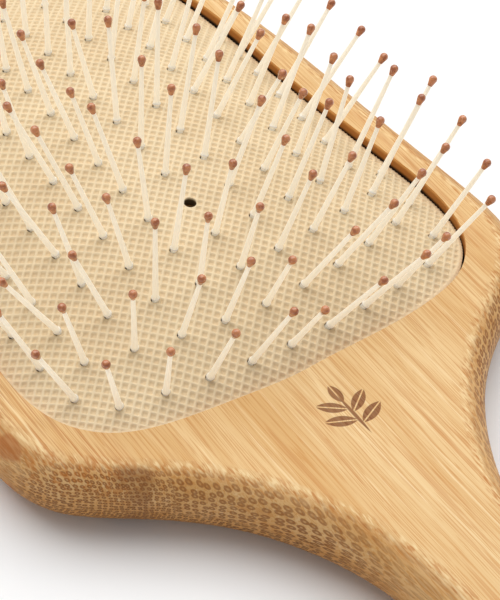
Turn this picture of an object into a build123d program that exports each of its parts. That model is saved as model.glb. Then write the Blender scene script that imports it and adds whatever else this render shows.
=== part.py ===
from build123d import *
import math
import os

# Bamboo paddle hair brush: a one-piece bamboo paddle, a domed air cushion whose
# rim is snapped into a groove round the pocket, and nylon pins with dipped ball
# tips that stand through the cushion.
# Frame: X across the brush, +Y from the handle towards the head's far end,
# +Z out of the cushion. Origin: on the flat back, under the centre of the pocket.
# Millimetres.

os.makedirs("parts", exist_ok=True)

# ---------------------------------------------------------------- driving sizes
paddle_thickness = 12.5
front_round = 4.5          # rounding of the front edge all round
back_round = 6.8           # rounding of the back edge all round
pocket_floor = 2.9         # wood left under the air chamber
groove_width = 1.4         # undercut that holds the cushion's lip, into the wall
groove_low, groove_high = 6.0, 7.5     # its height above the back

rim_drop = 2.05            # cushion edge below the wood's front face
crown_rise = 9.32          # crown of the cushion above its own edge
rim_gap = 0.35             # air gap between cushion edge and pocket wall
membrane = 1.5             # rubber thickness
lip_width, lip_height = 1.15, 1.1
skirt_low = 6.2            # height of the skirt's lower edge

pin_length = 17.5          # cushion surface to the middle of the ball
pin_r_root, pin_r_tip = 0.50, 0.33
neck_r, hole_r = 0.48, 0.58
collar_r = 0.62
flange_r, flange_h, flange_drop = 1.10, 0.60, 1.87
ball_r = 0.66
column_pitch, row_pitch = 7.0, 6.852
row_count, half_columns = 14, 4
column_fan = 0.0117        # columns spread by this share per row
vent_cell = (0, 4)         # column, row of the air vent
vent_r = 1.0

half_pocket = 50.45        # half of the pocket's length
row_start = -45.5          # Y of the first row on the centre line

# half outline of the paddle (X, Y), from the head's far end to the handle's end
PADDLE = [(0, 57.9), (14, 56.7), (26, 51.4), (34.6, 42.1), (39.6, 29.5),
          (42.0, 15.5), (43.6, -1.5), (45.0, -18.5), (46.2, -31.5),
          (46.0, -40.7), (42.9, -47.9), (36.6, -53.4), (29.2, -58.5),
          (22.0, -65.0), (15.8, -73.7), (11.6, -83.5), (9.7, -95.5),
          (9.3, -107.5), (10.2, -125.5), (11.7, -145.5), (12.8, -165.0),
          (12.9, -176.0), (12.1, -184.5), (9.7, -191.6), (5.6, -196.5), (0, -198.2)]

# half outline of the pocket (X, Y), from the handle side to the far end
POCKET = [(0, -50.35), (13, -49.85), (24, -48.65), (31.5, -46.1),
          (36.2, -41.6), (38.6, -35.3), (39.05, -27.5), (37.9, -17.5),
          (36.2, -4.5), (35.1, 8.5), (34.3, 20.5), (32.8, 31.0),
          (29.6, 40.3), (23.2, 46.6), (12.5, 49.75), (0, 50.5)]

# lean of single pins away from +Z, row by row: column: (towards +X, towards +Y)
LEAN = {
    0: {-5: (-26.6, -6.8), -4: (-18.9, -14.8), -3: (-13.5, -19.7), -2: (-4.6, -22.5), -1: (3.9, -22.9), 0: (-5.7, -27.8), 1: (7.9, -27.3), 2: (13.8, -25.8), 3: (4.5, -24.7), 4: (18.7, -19.3), 5: (16.3, -13.5)},
    1: {-4: (-18.6, -7.9), -3: (-12.0, -13.3), -2: (-3.6, -17.1), -1: (-1.1, -16.7), 0: (-6.2, -23.4), 1: (9.5, -23.4), 2: (13.9, -21.0), 3: (15.3, -15.6), 4: (15.5, -11.8), 5: (23.3, -5.9)},
    2: {-4: (-31.9, 1.4), -3: (-22.6, -1.4), -2: (-5.2, -3.4), 0: (-4.2, -15.6), 1: (7.1, -11.2), 2: (9.1, -12.1), 3: (15.0, -1.1), 4: (30.7, 5.7), 5: (37.0, 9.4)},
    3: {-3: (-15.3, 4.5), -2: (-16.2, -1.5), -1: (1.2, -4.2), 0: (-1.6, -11.3), 1: (7.2, -10.3), 2: (21.6, 2.1), 3: (20.7, 10.7), 4: (32.6, 10.3)},
    4: {-3: (-26.5, 10.8), -2: (-20.3, 1.7), -1: (-9.5, -0.7), 1: (11.8, -5.4), 2: (10.9, -11.7), 3: (22.4, 5.3), 4: (31.3, -4.8)},
    5: {-2: (-20.5, 11.3), -1: (-15.2, 9.6), 0: (-0.1, -0.9), 1: (13.2, 11.5), 2: (10.4, -17.3), 3: (28.9, 11.7), 4: (40.1, 3.4)},
    6: {-2: (-22.1, 10.6), -1: (-17.5, 1.2), 1: (14.9, 12.0), 2: (18.4, -8.2), 3: (15.8, -4.3), 4: (40.4, 10.8)},
    7: {-1: (-18.7, 4.8), 0: (2.6, 16.0), 1: (8.5, 15.7), 2: (23.5, -5.5)},
    8: {-1: (-15.2, 5.8), 0: (-14.7, -0.2)},
    9: {-1: (-9.6, 10.7)},
}


# ---------------------------------------------------------------- cushion shape
def side_width(y):
    """Half width of the pocket between its rounded corners."""
    return 39.75 - 0.105 * (y + 36.5)


def crown(x, y):
    """Height of the cushion's outer surface above the back of the paddle."""
    n = 2.175 + 0.2254 * (y + 36.5) / 44
    across = 1 - (abs(x) / side_width(y)) ** n
    along = 1 - (abs(y) / half_pocket) ** 2.779
    return paddle_thickness - rim_drop + crown_rise * across * along


def normal(x, y, e=0.05):
    a = -(crown(x + e, y) - crown(x - e, y)) / (2 * e)
    b = -(crown(x, y + e) - crown(x, y - e)) / (2 * e)
    return Vector(a, b, 1).normalized()


def tilt(ax, ay):
    return Vector(math.tan(math.radians(ax)), math.tan(math.radians(ay)), 1).normalized()


# ---------------------------------------------------------------- pin positions
def pin_at(i, j):
    """X and Y where the pin of column i, row j leaves the cushion."""
    x = i * column_pitch * (1 + column_fan * min(j, 9))
    bow = 5.19 * math.exp(-j / 23) if j <= 7 else 5.19 * math.exp(-7 / 23) - 0.95 * (j - 7)
    if j == 0:
        bow -= 2.115
    return x, row_start + j * row_pitch + bow * (x / 28) ** 2


def inset(x, y):
    """Smallest distance from a point to the pocket's outline."""
    best = 1e9
    pts = POCKET + [(-a, b) for a, b in reversed(POCKET)]
    for (ax, ay), (bx, by) in zip(pts, pts[1:] + pts[:1]):
        dx, dy = bx - ax, by - ay
        t = max(0, min(1, ((x - ax) * dx + (y - ay) * dy) / max(dx * dx + dy * dy, 1e-9)))
        best = min(best, math.hypot(x - ax - t * dx, y - ay - t * dy))
    return best


cells = {}
for j in range(row_count):
    for i in range(-half_columns, half_columns + 1):
        if (i, j) != vent_cell:
            cells[i, j] = pin_at(i, j)
for side in (-1, 1):
    for n, (x, y) in enumerate(((32.6, -37.8), (33.7, -30.2), (33.8, -22.6))):
        cells[5 * side, n] = (side * x, y)
cells = {k: v for k, v in cells.items() if inset(*v) > 3.4}


def pin_lean(i, j, x, y):
    if i in LEAN.get(j, {}):
        return LEAN[j][i]
    n = normal(x, y)
    ax = math.degrees(math.atan2(n.X, n.Z)) * 1.12 + 0.12 * x
    ay = math.degrees(math.atan2(n.Y, n.Z)) * 1.02
    return (ax + 2.2 * math.sin(2.7 * i + 4.1 * j), ay + 2.4 * math.sin(3.9 * i + 2.3 * j + 1))


planes = {}
for (i, j), (x, y) in cells.items():
    d = tilt(*pin_lean(i, j, x, y))
    n = normal(x, y)
    across = n.cross(d).length
    limit = math.sin(math.radians(15.5))
    if across > limit:                      # no pin leans further from the surface
        t = limit / across
        d = (n * (1 - t) + d * t).normalized()
    planes[i, j] = Plane(origin=(x, y, crown(x, y)), x_dir=(1, 0, -d.X / d.Z), z_dir=d)

# pins of one column that stand at one height tilt together
zones = {"near": range(0, 3), "mid": range(3, 9), "far": range(9, row_count)}
groups = {}
for (i, j) in sorted(planes):
    zone = next(z for z, rows in zones.items() if j in rows or (abs(i) == 4 and j == 9 and z == "mid"))
    side = "c" if i == 0 else ("l" if i < 0 else "r")
    groups.setdefault(f"{zone}_{side}{abs(i)}", []).append((i, j))

# the line that each group tilts about: through the rubber under its pins
axes = {}
for name, keys in groups.items():
    P = [planes[k].origin - normal(planes[k].origin.X, planes[k].origin.Y) * (membrane / 2) for k in keys]
    c = sum(P[1:], P[0]) / len(P)
    sy = sum((q.Y - c.Y) ** 2 for q in P)
    if sy < 1:                              # a lone pin tilts about the surface line
        n = normal(c.X, c.Y)
        axes[name] = (c, Vector(0, n.Z, -n.Y).normalized())
        continue
    sx = sum((q.Y - c.Y) * (q.X - c.X) for q in P) / sy
    sz = sum((q.Y - c.Y) * (q.Z - c.Z) for q in P) / sy
    axes[name] = (c, Vector(sx, 1, sz).normalized())


for name, keys in groups.items():
    print(name, len(keys), keys)


# ---------------------------------------------------------------- outlines
def grown(points, amount):
    """Half outline moved outwards by amount, square to itself."""
    out = []
    for k, (x, y) in enumerate(points):
        ax, ay = points[k - 1] if k else (-points[1][0], points[1][1])
        bx, by = points[k + 1] if k + 1 < len(points) else (-points[k - 1][0], points[k - 1][1])
        dx, dy = bx - ax, by - ay
        m = math.hypot(dx, dy)
        sign = 1 if points[0][1] < points[-1][1] else -1
        out.append((x + sign * amount * dy / m, y - sign * amount * dx / m))
    out[0], out[-1] = (0, out[0][1]), (0, out[-1][1])
    return out


def closed_loop(points):
    left = [(-x, y) for x, y in reversed(points[1:-1])]
    Spline(*points, *left, periodic=True)


# ---------------------------------------------------------------- bamboo paddle
with BuildPart() as paddle_body:
    with BuildSketch():
        with BuildLine():
            closed_loop(PADDLE)
        make_face()
    extrude(amount=paddle_thickness)
    fillet(paddle_body.faces().sort_by(Axis.Z)[-1].edges(), radius=front_round)
    fillet(paddle_body.faces().sort_by(Axis.Z)[0].edges(), radius=back_round)
    # pocket under the cushion
    with BuildSketch(Plane.XY.offset(pocket_floor)):
        with BuildLine():
            closed_loop(POCKET)
        make_face()
    extrude(amount=paddle_thickness, mode=Mode.SUBTRACT)
    # undercut groove for the cushion's lip
    with BuildSketch(Plane.XY.offset(groove_low)):
        with BuildLine():
            closed_loop(grown(POCKET, groove_width))
        make_face()
    extrude(amount=groove_high - groove_low, mode=Mode.SUBTRACT)
paddle_body.part.label = "paddle_body"
export_step(paddle_body.part, "parts/paddle_body.step")
print("paddle", round(paddle_body.part.volume), paddle_body.part.bounding_box().size)


# ---------------------------------------------------------------- air cushion
def dome_face(drop):
    xs = [-46 + 92 * k / 22 for k in range(23)]
    ys = [-56 + 112 * k / 24 for k in range(25)]
    return Face.make_surface_from_array_of_points(
        [[Vector(x, y, crown(x, y) - drop) for y in ys] for x in xs], tol=0.02)


skin = dome_face(0)
lining = dome_face(membrane)

with BuildPart(mode=Mode.PRIVATE) as cushion_core:
    with BuildSketch(Plane.XY.offset(skirt_low - 1)):
        with BuildLine():
            closed_loop(grown(POCKET, -rim_gap - membrane))
        make_face()
    extrude(amount=20)
    split(bisect_by=lining, keep=Keep.BOTTOM)

with BuildPart() as cushion_pad:
    with BuildSketch(Plane.XY.offset(skirt_low)):
        with BuildLine():
            closed_loop(grown(POCKET, -rim_gap))
        make_face()
    extrude(amount=20)
    split(bisect_by=skin, keep=Keep.BOTTOM)
    with BuildSketch(Plane.XY.offset(skirt_low)):
        with BuildLine():
            closed_loop(grown(POCKET, lip_width))
        make_face()
    extrude(amount=lip_height)
    add(cushion_core.part, mode=Mode.SUBTRACT)
    # one hole for each pin, along the pin
    with Locations(*[planes[k].location for k in sorted(planes)]):
        Cylinder(hole_r, 8, mode=Mode.SUBTRACT)
    # air vent
    vx, vy = pin_at(*vent_cell)
    with Locations(Plane(origin=(vx, vy, crown(vx, vy)), z_dir=normal(vx, vy)).location):
        Cylinder(vent_r, 8, mode=Mode.SUBTRACT)
cushion_pad.part.label = "cushion_pad"
export_step(cushion_pad.part, "parts/cushion_pad.step")
print("cushion", round(cushion_pad.part.volume), cushion_pad.part.bounding_box().size)

# ---------------------------------------------------------------- pins and tips
tip_start = pin_length - 1.15
foot_r = pin_r_tip + 0.06              # where the dipped ball starts on the shaft
# angle on the ball where its straight flank meets it
touch = (math.atan2(tip_start - pin_length, foot_r)
         + math.acos(ball_r / math.hypot(tip_start - pin_length, foot_r)))


def on_ball(angle):
    return ball_r * math.cos(angle), pin_length + ball_r * math.sin(angle)


with BuildPart(mode=Mode.PRIVATE) as pin_blank:
    with BuildSketch(Plane.XZ):
        with BuildLine():
            Polyline((0, -flange_drop - flange_h), (flange_r, -flange_drop - flange_h),
                     (flange_r, -flange_drop), (neck_r, -flange_drop), (neck_r, 0.22),
                     (collar_r - 0.1, 0.22))
            Spline((collar_r - 0.1, 0.22), (collar_r, 0.52), (pin_r_root, 0.95),
                   tangents=[(1, 0.6), (-0.4, 1)])
            Polyline((pin_r_root, 0.95), (pin_r_tip, tip_start), (0, tip_start),
                     (0, -flange_drop - flange_h))
        make_face()
    revolve(axis=Axis.Z)

with BuildPart(mode=Mode.PRIVATE) as ball_blank:
    with BuildSketch(Plane.XZ):
        with BuildLine():
            Polyline((0, tip_start), (foot_r, tip_start), on_ball(touch))
            ThreePointArc(on_ball(touch), on_ball((touch + math.pi / 2) / 2), on_ball(math.pi / 2))
            Line(on_ball(math.pi / 2), (0, tip_start))
        make_face()
    revolve(axis=Axis.Z)

for name, keys in groups.items():
    with BuildPart() as pins:
        with Locations(*[planes[k].location for k in keys]):
            add(pin_blank.part)
    pins.part.label = f"pins_{name}"
    export_step(pins.part, f"parts/pins_{name}.step")
    with BuildPart() as tips:
        with Locations(*[planes[k].location for k in keys]):
            add(ball_blank.part)
    tips.part.label = f"tips_{name}"
    export_step(tips.part, f"parts/tips_{name}.step")

print("pins", len(planes), "groups", len(groups))
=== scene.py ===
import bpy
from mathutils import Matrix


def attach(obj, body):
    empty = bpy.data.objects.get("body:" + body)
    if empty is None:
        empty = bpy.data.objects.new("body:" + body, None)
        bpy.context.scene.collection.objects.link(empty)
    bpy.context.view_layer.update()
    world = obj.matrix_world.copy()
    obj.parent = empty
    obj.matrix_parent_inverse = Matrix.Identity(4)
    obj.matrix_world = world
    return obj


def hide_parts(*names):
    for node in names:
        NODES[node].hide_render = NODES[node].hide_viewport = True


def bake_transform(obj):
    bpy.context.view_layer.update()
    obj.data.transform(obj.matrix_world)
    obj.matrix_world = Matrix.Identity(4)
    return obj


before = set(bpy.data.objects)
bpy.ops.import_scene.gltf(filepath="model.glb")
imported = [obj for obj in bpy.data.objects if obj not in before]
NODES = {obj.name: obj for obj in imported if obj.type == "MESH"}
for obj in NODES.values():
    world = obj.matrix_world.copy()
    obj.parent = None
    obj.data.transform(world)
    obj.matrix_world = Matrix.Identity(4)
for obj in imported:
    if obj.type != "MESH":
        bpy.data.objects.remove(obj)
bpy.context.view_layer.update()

import math
import random

import bmesh
import bpy
import numpy as np
from mathutils import Matrix, Vector

MM = 0.001
random.seed(4)

# ------------------------------------------------------------------ shape facts
HALF_POCKET = 50.45
ROW_START = -45.5
COLUMN_PITCH, ROW_PITCH = 7.0, 6.852
RIM_Z = 12.5 - 2.05
POCKET = [(0, -50.35), (13, -49.85), (24, -48.65), (31.5, -46.1),
          (36.2, -41.6), (38.6, -35.3), (39.05, -27.5), (37.9, -17.5),
          (36.2, -4.5), (35.1, 8.5), (34.3, 20.5), (32.8, 31.0),
          (29.6, 40.3), (23.2, 46.6), (12.5, 49.75), (0, 50.5)]
PADDLE = [(0, 57.9), (14, 56.7), (26, 51.4), (34.6, 42.1), (39.6, 29.5),
          (42.0, 15.5), (43.6, -1.5), (45.0, -18.5), (46.2, -31.5),
          (46.0, -40.7), (42.9, -47.9), (36.6, -53.4), (29.2, -58.5),
          (22.0, -65.0), (15.8, -73.7), (11.6, -83.5), (9.7, -95.5),
          (9.3, -107.5), (10.2, -125.5), (11.7, -145.5), (12.8, -165.0),
          (12.9, -176.0), (12.1, -184.5), (9.7, -191.6), (5.6, -196.5), (0, -198.2)]


def crown(x, y):
    """Height of the cushion's smooth outer surface in mm; x and y may be arrays."""
    half = 39.75 - 0.105 * (y + 36.5)
    n = 2.175 + 0.2254 * (y + 36.5) / 44
    across = 1 - (np.abs(x) / half) ** n
    along = 1 - (np.abs(y) / HALF_POCKET) ** 2.779
    return RIM_Z + 9.32 * across * along


def spline_loop(points, count):
    """Closed smooth curve through a half outline and its mirror image, as an array."""
    pts = np.array(list(points) + [(-x, y) for x, y in reversed(points[1:-1])], float)
    n = len(pts)
    gap = np.linalg.norm(np.roll(pts, -1, axis=0) - pts, axis=1)
    # periodic cubic spline with chord lengths as parameters
    A = np.zeros((n, n))
    B = np.zeros((n, 2))
    for k in range(n):
        h0, h1 = gap[k - 1], gap[k]
        A[k, k - 1] += h0
        A[k, k] += 2 * (h0 + h1)
        A[k, (k + 1) % n] += h1
        B[k] = 6 * ((pts[(k + 1) % n] - pts[k]) / h1 - (pts[k] - pts[k - 1]) / h0)
    M = np.linalg.solve(A, B)
    total = gap.sum()
    start = np.concatenate([[0], np.cumsum(gap)])
    out = np.zeros((count, 2))
    for q in range(count):
        s = total * q / count
        k = min(int(np.searchsorted(start, s, side="right")) - 1, n - 1)
        h, t = gap[k], s - start[k]
        a, b = pts[k], pts[(k + 1) % n]
        ma, mb = M[k], M[(k + 1) % n]
        out[q] = (ma * (h - t) ** 3 + mb * t ** 3) / (6 * h) + (a / h - ma * h / 6) * (h - t) + (b / h - mb * h / 6) * t
    return out


def loop_normals(loop):
    d = np.roll(loop, -1, axis=0) - np.roll(loop, 1, axis=0)
    d /= np.linalg.norm(d, axis=1)[:, None]
    n = np.stack([d[:, 1], -d[:, 0]], axis=1)
    area = np.sum(loop[:, 0] * np.roll(loop[:, 1], -1) - np.roll(loop[:, 0], -1) * loop[:, 1])
    return n if area > 0 else -n


def inside(loop, x, y):
    """Which of the points are inside the closed loop."""
    got = np.zeros(x.shape, bool)
    for (ax, ay), (bx, by) in zip(loop, np.roll(loop, -1, axis=0)):
        if ay == by:
            continue
        cross = (ay > y) != (by > y)
        got ^= cross & (x < (bx - ax) * (y - ay) / (by - ay) + ax)
    return got


def linked(name, mesh):
    obj = bpy.data.objects.new(name, mesh)
    bpy.context.scene.collection.objects.link(obj)
    return obj


# ------------------------------------------------------------------ node helpers
class Shader:
    """A node tree with short calls for the maths nodes."""

    def __init__(self, name):
        self.mat = bpy.data.materials.new(name)
        self.mat.use_nodes = True
        self.tree = self.mat.node_tree
        self.bsdf = self.tree.nodes["Principled BSDF"]
        self.out = self.tree.nodes["Material Output"]

    def node(self, kind, **props):
        n = self.tree.nodes.new(kind)
        for k, v in props.items():
            setattr(n, k, v)
        return n

    def put(self, socket, value):
        if isinstance(value, bpy.types.NodeSocket):
            self.tree.links.new(value, socket)
        else:
            socket.default_value = value

    def math(self, op, a, b=0.0, c=None, clamp=False):
        n = self.node("ShaderNodeMath", operation=op, use_clamp=clamp)
        self.put(n.inputs[0], a)
        if op not in ("SQRT", "ABSOLUTE", "SINE", "COSINE", "FLOOR", "FRACT"):
            self.put(n.inputs[1], b)
        if c is not None:
            self.put(n.inputs[2], c)
        return n.outputs[0]

    def step(self, value, low, high):
        n = self.node("ShaderNodeMapRange", interpolation_type="SMOOTHSTEP", clamp=True)
        self.put(n.inputs["Value"], value)
        self.put(n.inputs["From Min"], low)
        self.put(n.inputs["From Max"], high)
        return n.outputs[0]

    def mix(self, fac, a, b, blend="MIX"):
        n = self.node("ShaderNodeMix", data_type="RGBA", blend_type=blend)
        self.put(n.inputs[0], fac)
        self.put(n.inputs[6], a)
        self.put(n.inputs[7], b)
        return n.outputs[2]

    def coords(self):
        t = self.node("ShaderNodeTexCoord")
        s = self.node("ShaderNodeSeparateXYZ")
        self.put(s.inputs[0], t.outputs["Object"])
        return t.outputs["Object"], s.outputs[0], s.outputs[1], s.outputs[2]

    def vec(self, x, y, z):
        n = self.node("ShaderNodeCombineXYZ")
        for k, v in enumerate((x, y, z)):
            self.put(n.inputs[k], v)
        return n.outputs[0]

    def noise(self, vector, scale, detail=2.0, rough=0.5, distortion=0.0):
        n = self.node("ShaderNodeTexNoise")
        self.put(n.inputs["Vector"], vector)
        self.put(n.inputs["Scale"], scale)
        self.put(n.inputs["Detail"], detail)
        self.put(n.inputs["Roughness"], rough)
        self.put(n.inputs["Distortion"], distortion)
        return n.outputs["Fac"]

    def bump(self, height, strength, distance):
        n = self.node("ShaderNodeBump")
        n.inputs["Strength"].default_value = strength
        n.inputs["Distance"].default_value = distance
        self.put(n.inputs["Height"], height)
        return n.outputs[0]


def lin(r, g, b):
    def f(v):
        v /= 255
        return v / 12.92 if v <= 0.04045 else ((v + 0.055) / 1.055) ** 2.4
    return (f(r), f(g), f(b), 1.0)


# ------------------------------------------------------------------ bamboo
STRIP_EDGE, STRIP_WIDTH = -28.9, 19.9      # glued strips run along Y


def bamboo_material():
    s = Shader("bamboo")
    pos, x, y, z = s.coords()
    m = s.math
    geo = s.node("ShaderNodeNewGeometry")
    nrm = s.node("ShaderNodeSeparateXYZ")
    s.put(nrm.inputs[0], geo.outputs["Normal"])
    top = m("ABSOLUTE", nrm.outputs[2])
    X, Y, Z = (m("MULTIPLY", v, 1000.0) for v in (x, y, z))
    strip = m("FLOOR", m("DIVIDE", m("SUBTRACT", X, STRIP_EDGE), STRIP_WIDTH))
    tone = s.noise(s.vec(m("MULTIPLY", strip, 7.31), 0.4, 0.0), 1.0, 0.0)
    # fibres wander a little from the Y direction
    wander = s.noise(s.vec(m("MULTIPLY", X, 0.05), m("MULTIPLY", Y, 0.016), m("MULTIPLY", Z, 0.05)), 1.0, 2.0)
    Xw = m("ADD", X, m("MULTIPLY", m("SUBTRACT", wander, 0.5), 2.6))
    deep = s.noise(s.vec(m("MULTIPLY", X, 0.9), m("MULTIPLY", Y, 0.035), m("ADD", m("MULTIPLY", Z, 0.4), m("MULTIPLY", strip, 5.0))), 1.0, 2.0)
    Zw = m("ADD", Z, m("MULTIPLY", m("SUBTRACT", deep, 0.5), 1.5))
    fine = s.noise(s.vec(m("MULTIPLY", Xw, 5.2), m("MULTIPLY", Y, 0.05), m("MULTIPLY", Zw, 3.6)), 1.0, 2.0, 0.7)
    bundle = s.noise(s.vec(m("MULTIPLY", Xw, 1.25), m("MULTIPLY", Y, 0.022), m("MULTIPLY", Zw, 1.2)), 1.0, 2.0, 0.6)
    broad = s.noise(s.vec(m("MULTIPLY", Xw, 0.16), m("MULTIPLY", Y, 0.012), m("MULTIPLY", Z, 0.2)), 1.0, 2.0, 0.55)
    col = s.mix(s.step(broad, 0.30, 0.70), lin(234, 199, 145), lin(220, 176, 116))
    col = s.mix(m("MULTIPLY", s.step(tone, 0.38, 0.62), 0.18), col, lin(238, 206, 154))
    col = s.mix(m("MULTIPLY", s.step(bundle, 0.42, 0.28), 0.50), col, lin(247, 221, 174))
    col = s.mix(m("MULTIPLY", s.step(fine, 0.48, 0.62), 0.62), col, lin(202, 140, 72))
    col = s.mix(m("MULTIPLY", s.step(bundle, 0.55, 0.63), 0.40), col, lin(196, 130, 66))

    # fibre bundles, cut across where the surface turns away from the grain: small
    # brown rings that draw out into dashes and lines where it turns back along it
    side = s.step(top, 0.985, 0.89)
    dense_strip = s.step(X, STRIP_EDGE + 0.05, STRIP_EDGE - 0.05)
    scale = m("ADD", 1.0, m("MULTIPLY", dense_strip, 0.42))

    slow = s.noise(s.vec(m("MULTIPLY", X, 0.10), m("MULTIPLY", Y, 0.05), m("MULTIPLY", Z, 0.10)), 1.0, 1.0)
    Xr = m("ADD", X, m("MULTIPLY", m("SUBTRACT", slow, 0.5), 2.0))
    Zr = m("ADD", Z, m("MULTIPLY", m("SUBTRACT", slow, 0.5), 1.6))

    def rings(px, pz, shift):
        vor = s.node("ShaderNodeTexVoronoi", feature="F1", distance="EUCLIDEAN", voronoi_dimensions="2D")
        s.put(vor.inputs["Vector"], s.vec(m("ADD", m("DIVIDE", m("MULTIPLY", Xr, scale), px), shift),
                                          m("DIVIDE", m("MULTIPLY", Zr, scale), pz), 0.0))
        vor.inputs["Scale"].default_value = 1.0
        vor.inputs["Randomness"].default_value = 0.42
        d = vor.outputs["Distance"]
        return m("SUBTRACT", s.step(d, 0.45, 0.34), m("MULTIPLY", s.step(d, 0.19, 0.08), 0.6))
    upper = rings(0.98, 0.80, 0.3)
    lower = rings(0.72, 0.66, 0.7)
    depth = s.step(m("ADD", Z, m("MULTIPLY", deep, 1.5)), 7.6, 5.6)
    ends = s.mix(depth, upper, lower)
    patchy = s.noise(pos, 55.0, 2.0)
    ends = m("MULTIPLY", ends, m("ADD", 0.78, m("MULTIPLY", s.step(patchy, 0.30, 0.55), 0.22)))
    cut = s.step(m("ABSOLUTE", nrm.outputs[1]), 0.10, 0.55)
    ends = m("MULTIPLY", m("MULTIPLY", ends, side), m("ADD", 0.34, m("MULTIPLY", cut, 0.66)))
    runout = m("MULTIPLY", s.step(top, 0.998, 0.985), s.step(top, 0.80, 0.93))
    short = s.noise(s.vec(m("MULTIPLY", Xw, 2.3), m("MULTIPLY", Y, 0.42), m("MULTIPLY", Zw, 2.6)), 1.0, 1.0)
    col = s.mix(m("MULTIPLY", m("MULTIPLY", runout, s.step(short, 0.55, 0.66)), 0.60), col, lin(186, 112, 44))
    col = s.mix(m("MULTIPLY", m("MULTIPLY", runout, s.step(short, 0.45, 0.34)), 0.55), col, lin(250, 224, 172))
    # sides tinted orange-brown, partly the edge's own colour; the tint and the rings deepen towards the bottom as
    # painted shade
    low = s.step(Z, 10.5, 2.5)
    col = s.mix(m("MULTIPLY", side, m("ADD", 0.35, m("MULTIPLY", low, 0.45))), col, lin(182, 120, 48))
    col = s.mix(m("MULTIPLY", ends, m("ADD", 0.72, m("MULTIPLY", low, 0.12))), col, s.mix(low, lin(124, 62, 14), lin(66, 34, 8)))

    def patch(cx, cy, rx, ry, inner, outer):
        dx = m("DIVIDE", m("SUBTRACT", X, cx), rx)
        dy = m("DIVIDE", m("SUBTRACT", Y, cy), ry)
        r = m("ADD", m("MULTIPLY", dx, dx), m("MULTIPLY", dy, dy))
        warp = s.noise(pos, 420.0, 3.0)
        return s.step(m("ADD", r, m("MULTIPLY", m("SUBTRACT", warp, 0.5), 1.6)), outer, inner)
    rim_side = m("MULTIPLY", s.step(X, -30.0, -36.0), s.step(Z, 8.5, 10.5))
    streak = s.noise(s.vec(m("MULTIPLY", Xw, 2.6), m("MULTIPLY", Y, 0.06), m("MULTIPLY", Zw, 1.6)), 1.0, 1.0)
    col = s.mix(m("MULTIPLY", m("MULTIPLY", rim_side, s.step(streak, 0.50, 0.60)), 0.55), col, lin(186, 112, 44))
    # reddish knot on the left shoulder, stained fibres beside the strip joint
    col = s.mix(m("MULTIPLY", patch(-44.6, -40.0, 1.3, 2.6, 0.5, 1.1), 0.60), col, lin(172, 100, 50))
    stain = m("MULTIPLY", patch(-32.0, -51.5, 3.3, 5.0, 0.3, 1.4), m("MULTIPLY", dense_strip, side))
    col = s.mix(m("MULTIPLY", stain, 0.50), col, lin(120, 74, 40))
    col = s.mix(m("MULTIPLY", patch(-16.0, -118.0, 2.2, 26.0, 0.2, 1.3), 0.35), col, lin(186, 112, 60))
    # pocket wall beside the cushion: the cut wood's orange-brown darkening downwards as painted shade, with near-black
    # painted shadow in the gap by the rubber
    inward = m("MULTIPLY", m("ADD", m("MULTIPLY", nrm.outputs[0], x), m("MULTIPLY", nrm.outputs[1], y)), 1000.0)
    within = m("MULTIPLY", s.step(m("ABSOLUTE", Y), 51.6, 51.2), s.step(m("ABSOLUTE", X), 40.6, 40.3))
    pocket_wall_shade = m("MULTIPLY", m("MULTIPLY", s.step(inward, -2.0, -6.0), within), s.step(top, 0.6, 0.3))
    pocket_wall_shade_col = s.mix(s.step(Z, 11.0, 10.3), s.mix(s.step(Z, 12.5, 11.6), lin(226, 172, 104), lin(172, 112, 54)), lin(30, 20, 12))
    col = s.mix(pocket_wall_shade, col, pocket_wall_shade_col)

    # burned leaf sprig on the neck
    U, V = X, m("SUBTRACT", Y, -60.1)

    def leaf(ox, oy, angle, length, width):
        ca, sa = math.cos(angle), math.sin(angle)
        du, dv = m("SUBTRACT", U, ox), m("SUBTRACT", V, oy)
        along = m("SUBTRACT", m("ADD", m("MULTIPLY", du, ca), m("MULTIPLY", dv, sa)), length / 2)
        over = m("SUBTRACT", m("MULTIPLY", dv, ca), m("MULTIPLY", du, sa))
        half, w = length / 2, width / 2
        radius = (half * half + w * w) / (2 * w)
        off = radius - w
        aa = m("MULTIPLY", along, along)
        far = m("ADD", m("ABSOLUTE", over), off)
        d = m("SUBTRACT", m("SQRT", m("ADD", aa, m("MULTIPLY", far, far))), radius)
        body = s.step(d, 0.06, -0.06)
        if width < 1:
            return body
        return m("MULTIPLY", body, s.step(m("ABSOLUTE", over), 0.07, 0.15))
    mark = None
    for args in ((0.0, -5.2, math.radians(90), 8.4, 0.62),
                 (0.15, -3.0, math.radians(24), 5.0, 2.0),
                 (-0.15, -2.2, math.radians(156), 5.0, 2.0),
                 (0.15, -0.6, math.radians(36), 4.8, 1.9),
                 (-0.15, 0.2, math.radians(144), 4.8, 1.9),
                 (0.0, 1.6, math.radians(90), 3.8, 1.8)):
        got = leaf(*args)
        mark = got if mark is None else m("MAXIMUM", mark, got)
    mark = m("MULTIPLY", mark, s.step(Z, 11.8, 12.2))
    char = s.step(fine, 0.35, 0.6)
    col = s.mix(m("MULTIPLY", mark, m("SUBTRACT", 0.96, m("MULTIPLY", char, 0.22))), col, lin(122, 64, 22))
    s.put(s.bsdf.inputs["Base Color"], col)
    s.put(s.bsdf.inputs["Roughness"], m("ADD", 0.46, m("MULTIPLY", fine, 0.14)))
    s.bsdf.inputs["Specular IOR Level"].default_value = 0.2
    relief = m("SUBTRACT", m("MULTIPLY", fine, -0.3), m("ADD", m("MULTIPLY", ends, 0.6), m("MULTIPLY", mark, 0.8)))
    s.put(s.bsdf.inputs["Normal"], s.bump(relief, 0.30, 0.0002))
    return s.mat


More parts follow.
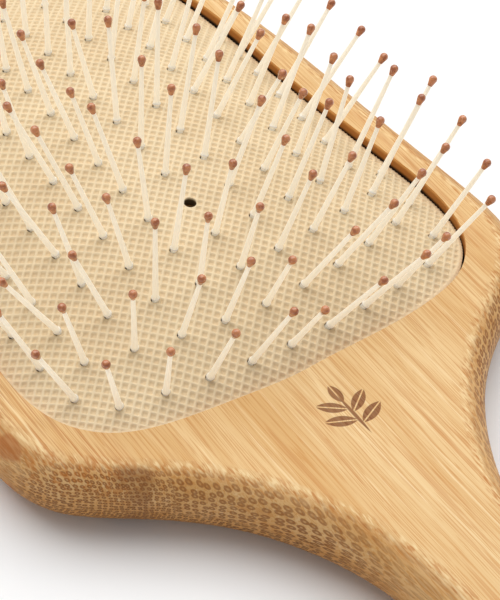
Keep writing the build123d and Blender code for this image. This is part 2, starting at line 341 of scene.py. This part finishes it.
def rubber_material():
    s = Shader("cushion_rubber")
    pos, x, y, z = s.coords()
    cloud = s.noise(pos, 60.0, 2.0)
    speck = s.noise(pos, 2600.0, 2.0)
    col = s.mix(s.step(cloud, 0.3, 0.7), lin(235, 214, 177), lin(229, 206, 168))
    pit_shade = s.node("ShaderNodeAttribute", attribute_name="pit_shade")
    # painted shade: pit floors darkened by their depth, standing in for shade in the recesses
    col = s.mix(s.math("MULTIPLY", pit_shade.outputs["Fac"], 0.36), col, lin(206, 174, 130))
    col = s.mix(s.math("MULTIPLY", s.step(speck, 0.55, 0.75), 0.12), col, lin(205, 175, 135))
    recess_shade = s.node("ShaderNodeAttribute", attribute_name="recess_shade")
    # painted shadow: walls inside the pin holes darkened fully, the outline's skirt walls half as much
    col = s.mix(recess_shade.outputs["Fac"], col, lin(92, 74, 50))
    s.put(s.bsdf.inputs["Base Color"], col)
    s.bsdf.inputs["Roughness"].default_value = 0.62
    s.bsdf.inputs["Specular IOR Level"].default_value = 0.3
    return s.mat


def nylon_material():
    s = Shader("pin_nylon")
    pos, x, y, z = s.coords()
    v = s.noise(pos, 90.0, 1.0)
    col = s.mix(v, lin(250, 246, 236), lin(246, 240, 226))
    s.put(s.bsdf.inputs["Base Color"], col)
    s.bsdf.inputs["Roughness"].default_value = 0.34
    glow = s.node("ShaderNodeBsdfTranslucent")
    s.put(glow.inputs["Color"], col)
    blend = s.node("ShaderNodeMixShader")
    blend.inputs[0].default_value = 0.5
    s.put(blend.inputs[1], s.bsdf.outputs[0])
    s.put(blend.inputs[2], glow.outputs[0])
    s.put(s.out.inputs["Surface"], blend.outputs[0])
    # painted glow: the nylon emits a little light in its own colour
    s.put(s.bsdf.inputs["Emission Color"], col)
    s.bsdf.inputs["Emission Strength"].default_value = 0.26
    return s.mat


def bead_material():
    s = Shader("pin_bead")
    pos, x, y, z = s.coords()
    v = s.noise(pos, 700.0, 1.0)
    s.put(s.bsdf.inputs["Base Color"], s.mix(v, lin(255, 254, 250), lin(246, 244, 238)))
    s.bsdf.inputs["Roughness"].default_value = 0.18
    s.bsdf.inputs["Transmission Weight"].default_value = 0.1
    return s.mat


def tip_material():
    s = Shader("tip_copper_brown")
    pos, x, y, z = s.coords()
    v = s.noise(pos, 900.0, 2.0)
    w = s.noise(pos, 2600.0, 1.0)
    col = s.mix(s.step(v, 0.35, 0.65), lin(206, 132, 84), lin(160, 88, 50))
    col = s.mix(s.math("MULTIPLY", s.step(w, 0.55, 0.72), 0.45), col, lin(222, 158, 112))
    s.put(s.bsdf.inputs["Base Color"], col)
    s.bsdf.inputs["Roughness"].default_value = 0.24
    s.bsdf.inputs["Coat Weight"].default_value = 0.7
    s.bsdf.inputs["Coat Roughness"].default_value = 0.08
    return s.mat


BAMBOO, RUBBER, NYLON, TIP = bamboo_material(), rubber_material(), nylon_material(), tip_material()
BEAD = bead_material()


def paint(obj, mat):
    obj.data.materials.clear()
    obj.data.materials.append(mat)


for name, obj in NODES.items():
    if name == "paddle_body":
        paint(obj, BAMBOO)
    elif name == "cushion_pad":
        paint(obj, RUBBER)
    elif name.startswith("pins_"):
        paint(obj, NYLON)
    else:
        paint(obj, TIP)

# ------------------------------------------------------------------ pins: where each one leaves the cushion
def pin_at(i, j):
    x = i * COLUMN_PITCH * (1 + 0.0117 * min(j, 9))
    bow = 5.19 * math.exp(-j / 23) if j <= 7 else 5.19 * math.exp(-7 / 23) - 0.95 * (j - 7)
    if j == 0:
        bow -= 2.115
    return x, ROW_START + j * ROW_PITCH + bow * (x / 28) ** 2


rim = spline_loop(POCKET, 900)
rim_normals = loop_normals(rim)
rim_edge = rim - 0.35 * rim_normals


def clear_of_rim(x, y):
    return float(np.min(np.hypot(rim[:, 0] - x, rim[:, 1] - y)))


holes = []
for j in range(14):
    for i in range(-4, 5):
        x, y = pin_at(i, j)
        if (i, j) == (0, 4):
            holes.append((x, y, 1.0))
        elif clear_of_rim(x, y) > 3.4 and abs(y) < 50:
            holes.append((x - 0.08, y + 0.06, 0.61))
for side in (-1, 1):
    for x, y in ((32.6, -37.8), (33.7, -30.2), (33.8, -22.6)):
        if clear_of_rim(side * x, y) > 3.4:
            holes.append((side * x - 0.08, y + 0.06, 0.61))

# ------------------------------------------------------------------ waffle cushion
def waffle_cushion():
    pitch = 1.211
    steps = 8
    cell = pitch / steps
    phi = math.radians(-43.6)
    c, s = math.cos(phi), math.sin(phi)
    n = int(130 / cell)
    k = np.arange(-n // 2, n // 2 + 1)
    U, V = np.meshgrid(k * cell, k * cell, indexing="ij")
    X, Y = c * U - s * V, s * U + c * V
    near = (np.abs(X) < 41) & (np.abs(Y) < 52)
    within = np.zeros(X.shape, bool)
    within[near] = inside(rim_edge, X[near], Y[near])
    hole_id = np.full(X.shape, -1)
    for h, (hx, hy, hr) in enumerate(holes):
        hole_id[(X - hx) ** 2 + (Y - hy) ** 2 < hr * hr] = h
    keep = within & (hole_id < 0)
    # a quad is kept if at least three of its corners are kept, inside the edge and clear of every hole; its other
    # corners snap to the edge
    Q = np.zeros((X.shape[0] - 1, X.shape[1] - 1), bool)
    corner = [keep[:-1, :-1], keep[1:, :-1], keep[1:, 1:], keep[:-1, 1:]]
    count = sum(a.astype(int) for a in corner)
    Q = count >= 3
    full = np.zeros(X.shape, bool)
    qi, qj = np.nonzero(Q)
    for di, dj in ((0, 0), (1, 0), (1, 1), (0, 1)):
        full[qi + di, qj + dj] = True
    index = np.full(X.shape, -1)
    ii, jj = np.nonzero(full)
    index[ii, jj] = np.arange(len(ii))
    px, py = X[ii, jj].copy(), Y[ii, jj].copy()
    faces = np.stack([index[qi, qj], index[qi + 1, qj], index[qi + 1, qj + 1], index[qi, qj + 1]], axis=1)
    # which vertices lie on the open edge
    e = np.concatenate([faces[:, [0, 1]], faces[:, [1, 2]], faces[:, [2, 3]], faces[:, [3, 0]]])
    key = np.sort(e, axis=1)
    code = key[:, 0].astype(np.int64) * len(ii) + key[:, 1]
    _, first, cnt = np.unique(code, return_index=True, return_counts=True)
    border = e[first[cnt == 1]]
    on_edge = np.zeros(len(ii), bool)
    on_edge[border.ravel()] = True
    # relief: ribs stand up round square pits
    pu = np.abs((U[ii, jj] / pitch) % 1 - 0.5) * 2      # 0 mid pit .. 1 rib centre
    pv = np.abs((V[ii, jj] / pitch) % 1 - 0.5) * 2
    rib = np.clip((np.maximum(pu, pv) - 0.54) / 0.22, 0, 1)
    relief = -0.30 + 0.30 * rib
    # snap edges
    h_of = np.full(len(ii), -1)
    best = np.full(len(ii), 1e9)
    for h, (hx, hy, hr) in enumerate(holes):
        d = np.abs(np.hypot(px - hx, py - hy) - hr)
        sel = on_edge & (d < cell * 1.6) & (d < best)
        best[sel] = d[sel]
        h_of[sel] = h
    hole_rim = h_of >= 0
    for h, (hx, hy, hr) in enumerate(holes):
        sel = h_of == h
        a = np.arctan2(py[sel] - hy, px[sel] - hx)
        px[sel], py[sel] = hx + hr * np.cos(a), hy + hr * np.sin(a)
        relief[sel] = 0.0
        # a smooth ring of rubber round each hole
        d = np.hypot(px - hx, py - hy)
        ring = np.clip((hr + 0.30 - d) / 0.22, 0, 1)
        relief = relief * (1 - ring)
    rim_sel = on_edge & ~hole_rim
    idx = np.nonzero(rim_sel)[0]
    for q in idx:
        d = (rim_edge[:, 0] - px[q]) ** 2 + (rim_edge[:, 1] - py[q]) ** 2
        b = int(np.argmin(d))
        px[q], py[q] = rim_edge[b]
    # plain border just inside the edge
    dr = np.full(len(ii), 9.0)
    close = np.hypot(px / 34, py / 46) > 0.75
    ci = np.nonzero(close)[0]
    for start in range(0, len(ci), 4000):
        part = ci[start:start + 4000]
        dr[part] = np.sqrt(np.min((px[part][:, None] - rim_edge[None, ::2, 0]) ** 2 + (py[part][:, None] - rim_edge[None, ::2, 1]) ** 2, axis=1))
    plain = np.clip((1.0 - dr) / 0.4, 0, 1)
    relief = relief * (1 - plain)
    # rounded edge
    drop = np.where(dr < 0.5, 0.25 * (1 - dr / 0.5) ** 2, 0.0)
    pz = crown(px, py) + relief - drop
    verts = [np.stack([px, py, pz], axis=1)]
    total = len(ii)
    quads = [faces]
    # side walls of the outline and the holes, in steps down to the lining
    ev = np.unique(border.ravel())
    ring_of = {int(v): k for k, v in enumerate(ev)}
    walls = []
    prev = {int(v): int(v) for v in ev}
    base_z = pz[ev]
    hole_e = hole_rim[ev]
    levels = 3
    for lev in range(1, levels + 1):
        z = np.where(hole_e, base_z - 1.5 * lev / levels, base_z + (7.4 - base_z) * lev / levels)
        verts.append(np.stack([px[ev], py[ev], z], axis=1))
        now = {int(v): total + k for k, v in enumerate(ev)}
        for a, b in border:
            a, b = int(a), int(b)
            walls.append((prev[b], prev[a], now[a], now[b]))
        prev = now
        total += len(ev)
    quads.append(np.array(walls))
    v = np.concatenate(verts) * MM
    f = np.concatenate(quads)
    mesh = bpy.data.meshes.new("cushion_skin")
    mesh.vertices.add(len(v))
    mesh.vertices.foreach_set("co", v.astype(np.float32).ravel())
    mesh.loops.add(len(f) * 4)
    mesh.loops.foreach_set("vertex_index", f.astype(np.int32).ravel())
    mesh.polygons.add(len(f))
    mesh.polygons.foreach_set("loop_start", np.arange(0, len(f) * 4, 4, dtype=np.int32))
    mesh.update(calc_edges=True)
    # painted shade in the pits, stored per vertex from the depth of the relief
    shade = mesh.attributes.new("pit_shade", "FLOAT", "POINT")
    depth = np.zeros(len(v), np.float32)
    depth[:len(relief)] = np.clip(-relief / 0.34, 0, 1)
    shade.data.foreach_set("value", depth)
    # painted shadow on the hole walls (full) and the outline's skirt walls (half)
    dark = mesh.attributes.new("recess_shade", "FLOAT", "POINT")
    inner = np.zeros(len(v), np.float32)
    for lev in range(levels):
        first_wall = len(relief) + lev * len(ev)
        inner[first_wall:first_wall + len(ev)] = np.where(hole_e, 1.0, 0.5)
    dark.data.foreach_set("value", inner)
    mesh.validate()
    mesh.polygons.foreach_set("use_smooth", np.ones(len(mesh.polygons), bool))
    # faces should look upwards
    mesh.update()
    if sum(p.normal.z for p in list(mesh.polygons)[:2000]) < 0:
        mesh.flip_normals()
    return linked("cushion_skin", mesh)


cushion = waffle_cushion()
cushion.data.materials.append(RUBBER)
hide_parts("cushion_pad")
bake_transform(cushion)

# ------------------------------------------------------------------ beads where the pins come out of the rubber
def pin_lines(node):
    """Foot on the rubber's surface and direction of each pin of a node, from its mesh."""
    bm = bmesh.new()
    bm.from_mesh(node.data)
    bmesh.ops.remove_doubles(bm, verts=bm.verts, dist=2e-6)
    seen, found = set(), []
    for start in bm.verts:
        if start in seen:
            continue
        group, todo = [], [start]
        seen.add(start)
        while todo:
            q = todo.pop()
            group.append(q.co.copy())
            for edge in q.link_edges:
                o = edge.other_vert(q)
                if o not in seen:
                    seen.add(o)
                    todo.append(o)
        pts = np.array(group)
        low = pts[np.argmin(pts[:, 2])]
        far = np.linalg.norm(pts - low, axis=1)
        head = pts[far > far.max() - 0.0012].mean(axis=0)
        foot = pts[np.linalg.norm(pts - head, axis=1) > np.linalg.norm(pts - head, axis=1).max() - 0.0004].mean(axis=0)
        d = head - foot
        d /= np.linalg.norm(d)
        t = (pts - head) @ d
        end = head + d * t.max()
        # the flange's lower face is 2.47 mm under the surface along the pin
        found.append((Vector(end - d * (t.max() - t.min() - 0.00247)), Vector(d)))
    bm.free()
    return found


def bead_meshes():
    turns, rows = ((14, 9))
    for name, obj in list(NODES.items()):
        if not name.startswith("pins_"):
            continue
        verts, faces = [], []
        for foot, d in pin_lines(obj):
            rot = d.to_track_quat("Z", "Y").to_matrix()
            c = foot + d * 0.00050
            base = len(verts)
            for r in range(rows + 1):
                a = math.pi * r / rows
                ring_r, h = 0.00067 * math.sin(a), -0.00036 * math.cos(a)
                for k in range(turns):
                    b = 2 * math.pi * k / turns
                    verts.append(c + rot @ Vector((ring_r * math.cos(b), ring_r * math.sin(b), h)))
            for r in range(rows):
                for k in range(turns):
                    a0, a1 = base + r * turns + k, base + r * turns + (k + 1) % turns
                    faces.append((a0, a1, a1 + turns, a0 + turns))
        mesh = bpy.data.meshes.new("beads_" + name[5:])
        mesh.from_pydata(verts, [], faces)
        bm = bmesh.new()
        bm.from_mesh(mesh)
        bmesh.ops.remove_doubles(bm, verts=bm.verts, dist=1e-7)
        bm.to_mesh(mesh)
        bm.free()
        mesh.polygons.foreach_set("use_smooth", [True] * len(mesh.polygons))
        mesh.materials.append(BEAD)
        bead = linked("beads_" + name[5:], mesh)
        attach(bead, "row_" + name[5:])


bead_meshes()

# ------------------------------------------------------------------ studio
def studio():
    floor = bpy.data.meshes.new("studio_floor")
    e = 6.0
    floor.from_pydata([(-e, -e, 0), (e, -e, 0), (e, e, 0), (-e, e, 0)], [], [(0, 1, 2, 3)])
    obj = linked("studio_floor", floor)
    obj.location.z = -0.0004
    s = Shader("floor_white")
    s.put(s.bsdf.inputs["Base Color"], (0.96, 0.96, 0.96, 1))
    s.bsdf.inputs["Roughness"].default_value = 0.9
    obj.data.materials.append(s.mat)
    world = bpy.data.worlds.new("studio")
    bpy.context.scene.world = world
    world.use_nodes = True
    bg = world.node_tree.nodes["Background"]
    bg.inputs[0].default_value = (1, 1, 1, 1)
    bg.inputs[1].default_value = 0.40

    def area(name, loc, target, size, power):
        data = bpy.data.lights.new(name, "AREA")
        data.shape = "RECTANGLE"
        data.size, data.size_y = size
        data.energy = power
        o = bpy.data.objects.new(name, data)
        bpy.context.scene.collection.objects.link(o)
        o.location = loc
        o.rotation_euler = (Vector(target) - Vector(loc)).to_track_quat("-Z", "Y").to_euler()
        return o
    area("key", (0.05, 0.50, 1.2), (0, -0.08, 0), (1.7, 1.5), 17)
    area("fill", (0.95, 0.25, 0.85), (0, -0.05, 0), (0.7, 0.7), 3.2)


studio()

cam_data = bpy.data.cameras.new("camera")
cam = bpy.data.objects.new("camera", cam_data)
bpy.context.scene.collection.objects.link(cam)
cam.matrix_world = Matrix(((0.81817, 0.36935, -0.44066, -0.151873),
                           (-0.57062, 0.61574, -0.54338, -0.222102),
                           (0.07063, 0.69602, 0.71454, 0.259022),
                           (0, 0, 0, 1)))
cam_data.sensor_fit = "HORIZONTAL"
cam_data.sensor_width = 36
cam_data.lens = 165.685
cam_data.clip_start = 0.01
cam_data.clip_end = 20
bpy.context.scene.camera = cam
bpy.context.scene.view_settings.view_transform = "Standard"
